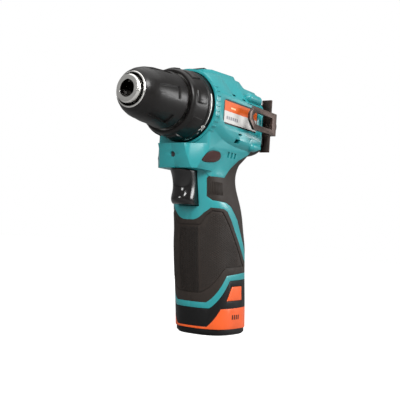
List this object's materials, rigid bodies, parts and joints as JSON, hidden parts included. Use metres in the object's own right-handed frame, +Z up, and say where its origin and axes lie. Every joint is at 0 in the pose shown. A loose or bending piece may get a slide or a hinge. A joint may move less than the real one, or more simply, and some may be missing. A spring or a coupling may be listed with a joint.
{
  "type": "cordless drill",
  "caption": "Pistol-grip cordless drill with keyless chuck, torque ring, planetary gearbox, trigger, stick battery and steel belt hook.",
  "frame": {"origin": "centre of the flat underside of the battery foot", "axes": "-X towards the chuck's nose, -Y towards the drill's left side, +Z up"},
  "size_m": [0.1389, 0.0582, 0.1805],
  "materials": {
    "shell": "moulded teal ABS, satin",
    "soft": "dark brown-grey soft grip",
    "black": "black moulded nylon",
    "chuck_black": "black satin chuck sleeve",
    "trigger_black": "glossy black",
    "selector_red": "dark red-brown",
    "orange": "orange moulded plastic",
    "steel": "machined steel",
    "bright": "plated bright steel",
    "hook_steel": "dark bronzed steel",
    "screw": "blackened steel screws",
    "lens": "clear lens",
    "label": "two-tone printed plate",
    "gear_steel": "sintered steel",
    "casing": "glass-filled nylon",
    "can": "zinc-plated can",
    "copper": "enamelled copper",
    "lamination": "stacked laminations",
    "cell": "shrink-wrapped cells",
    "contact": "plated contacts"
  },
  "bodies": {
    "housing": {"housing_left": "shell", "housing_right": "shell", "grip_left": "soft", "grip_right": "soft", "spine_left": "soft", "spine_right": "soft", "rear_cap": "black", "rear_screws": "screw", "label_plates": "label", "work_light": "lens", "belt_hook": "hook_steel", "hook_stud": "hook_steel", "switch_body": "black", "terminal_block": "casing", "clutch_spring": "steel", "clutch_washer": "steel", "clutch_pins": "steel", "gearbox_case": "casing", "motor_plate": "steel", "spindle_bush": "steel", "ring_gear_1": "gear_steel", "ring_gear_2": "gear_steel", "motor_can": "can", "motor_end_plate": "can", "stator": "lamination", "windings": "copper", "motor_bearings": "steel"},
    "spindle": {"spindle": "steel", "carrier_2": "gear_steel", "chuck_body": "bright", "chuck_screw": "screw"},
    "sleeve": {"chuck_sleeve": "chuck_black", "chuck_nut": "steel", "chuck_front_ring": "bright"},
    "jaw_1": {"jaw_1": "steel"},
    "jaw_2": {"jaw_2": "steel"},
    "jaw_3": {"jaw_3": "steel"},
    "carrier_1": {"carrier_1": "gear_steel"},
    "rotor": {"rotor": "steel", "motor_shaft": "steel", "pinion": "gear_steel", "fan": "casing"},
    "torque_ring": {"torque_ring": "chuck_black", "clutch_nut": "steel"},
    "trigger": {"trigger": "trigger_black"},
    "direction_selector": {"direction_selector": "selector_red"},
    "speed_selector": {"speed_selector": "black"},
    "battery": {"battery_case": "black", "battery_band": "orange", "battery_foot": "black", "battery_cells": "cell", "battery_contacts": "contact"},
    "latch_left": {"latch_button_left": "orange"},
    "latch_right": {"latch_button_right": "orange"},
    "planet_1_1": {"planet_1_1": "gear_steel"},
    "planet_1_2": {"planet_1_2": "gear_steel"},
    "planet_1_3": {"planet_1_3": "gear_steel"},
    "planet_2_1": {"planet_2_1": "gear_steel"},
    "planet_2_2": {"planet_2_2": "gear_steel"},
    "planet_2_3": {"planet_2_3": "gear_steel"}
  },
  "joints": [
    {"name": "spindle_turn", "type": "hinge", "parent": "housing", "child": "spindle", "pos_m": [0, 0, 0.1515], "axis": [1, 0, 0], "continuous": true},
    {"name": "carrier_turn", "type": "hinge", "parent": "housing", "child": "carrier_1", "pos_m": [0, 0, 0.1515], "axis": [1, 0, 0], "continuous": true},
    {"name": "rotor_turn", "type": "hinge", "parent": "housing", "child": "rotor", "pos_m": [0, 0, 0.1515], "axis": [1, 0, 0], "continuous": true},
    {"name": "planet_2_1_turn", "type": "hinge", "parent": "spindle", "child": "planet_2_1", "pos_m": [-0.038, 0, 0.1611], "axis": [1, 0, 0], "continuous": true},
    {"name": "planet_2_2_turn", "type": "hinge", "parent": "spindle", "child": "planet_2_2", "pos_m": [-0.038, -0.00831, 0.1467], "axis": [1, 0, 0], "continuous": true},
    {"name": "planet_2_3_turn", "type": "hinge", "parent": "spindle", "child": "planet_2_3", "pos_m": [-0.038, 0.00831, 0.1467], "axis": [1, 0, 0], "continuous": true},
    {"name": "planet_1_1_turn", "type": "hinge", "parent": "carrier_1", "child": "planet_1_1", "pos_m": [-0.03, 0, 0.1611], "axis": [1, 0, 0], "continuous": true},
    {"name": "planet_1_2_turn", "type": "hinge", "parent": "carrier_1", "child": "planet_1_2", "pos_m": [-0.03, -0.00831, 0.1467], "axis": [1, 0, 0], "continuous": true},
    {"name": "planet_1_3_turn", "type": "hinge", "parent": "carrier_1", "child": "planet_1_3", "pos_m": [-0.03, 0.00831, 0.1467], "axis": [1, 0, 0], "continuous": true},
    {"name": "chuck_sleeve_turn", "type": "hinge", "parent": "spindle", "child": "sleeve", "pos_m": [0, 0, 0.1515], "axis": [1, 0, 0], "range_deg": [0, 2880]},
    {"name": "jaw_1_slide", "type": "slide", "parent": "spindle", "child": "jaw_1", "axis": [-0.9636, 0, -0.2672], "range_m": [0, 0.0172]},
    {"name": "jaw_2_slide", "type": "slide", "parent": "spindle", "child": "jaw_2", "axis": [-0.9636, 0.2314, 0.1336], "range_m": [0, 0.0172]},
    {"name": "jaw_3_slide", "type": "slide", "parent": "spindle", "child": "jaw_3", "axis": [-0.9636, -0.2314, 0.1336], "range_m": [0, 0.0172]},
    {"name": "torque_ring_turn", "type": "hinge", "parent": "housing", "child": "torque_ring", "pos_m": [0, 0, 0.1515], "axis": [1, 0, 0], "range_deg": [0, 300]},
    {"name": "trigger_pull", "type": "slide", "parent": "housing", "child": "trigger", "axis": [1, 0, 0], "range_m": [0, 0.006], "stiffness_N_per_m": 900, "springref_m": -0.003},
    {"name": "direction_slide", "type": "slide", "parent": "housing", "child": "direction_selector", "axis": [0, 1, 0], "range_m": [-0.003, 0.003]},
    {"name": "speed_slide", "type": "slide", "parent": "housing", "child": "speed_selector", "axis": [1, 0, 0], "range_m": [0, 0.008]},
    {"name": "battery_slide", "type": "slide", "parent": "housing", "child": "battery", "axis": [0.1483, 0, -0.9889], "range_m": [0, 0.085]},
    {"name": "latch_left_press", "type": "slide", "parent": "battery", "child": "latch_left", "axis": [0, 1, 0], "range_m": [0, 0.0015], "stiffness_N_per_m": 800, "springref_m": -0.002},
    {"name": "latch_right_press", "type": "slide", "parent": "battery", "child": "latch_right", "axis": [0, -1, 0], "range_m": [0, 0.0015], "stiffness_N_per_m": 800, "springref_m": -0.002}
  ],
  "couplings": [
    {"joint": "carrier_turn", "follows": "spindle_turn", "ratio": 4},
    {"joint": "rotor_turn", "follows": "spindle_turn", "ratio": 16},
    {"joint": "planet_2_1_turn", "follows": "spindle_turn", "ratio": -3},
    {"joint": "planet_2_2_turn", "follows": "spindle_turn", "ratio": -3},
    {"joint": "planet_2_3_turn", "follows": "spindle_turn", "ratio": -3},
    {"joint": "planet_1_1_turn", "follows": "spindle_turn", "ratio": -12},
    {"joint": "planet_1_2_turn", "follows": "spindle_turn", "ratio": -12},
    {"joint": "planet_1_3_turn", "follows": "spindle_turn", "ratio": -12},
    {"joint": "jaw_1_slide", "follows": "chuck_sleeve_turn", "m_per_rad": 0.00034218},
    {"joint": "jaw_2_slide", "follows": "chuck_sleeve_turn", "m_per_rad": 0.00034218},
    {"joint": "jaw_3_slide", "follows": "chuck_sleeve_turn", "m_per_rad": 0.00034218}
  ]
}
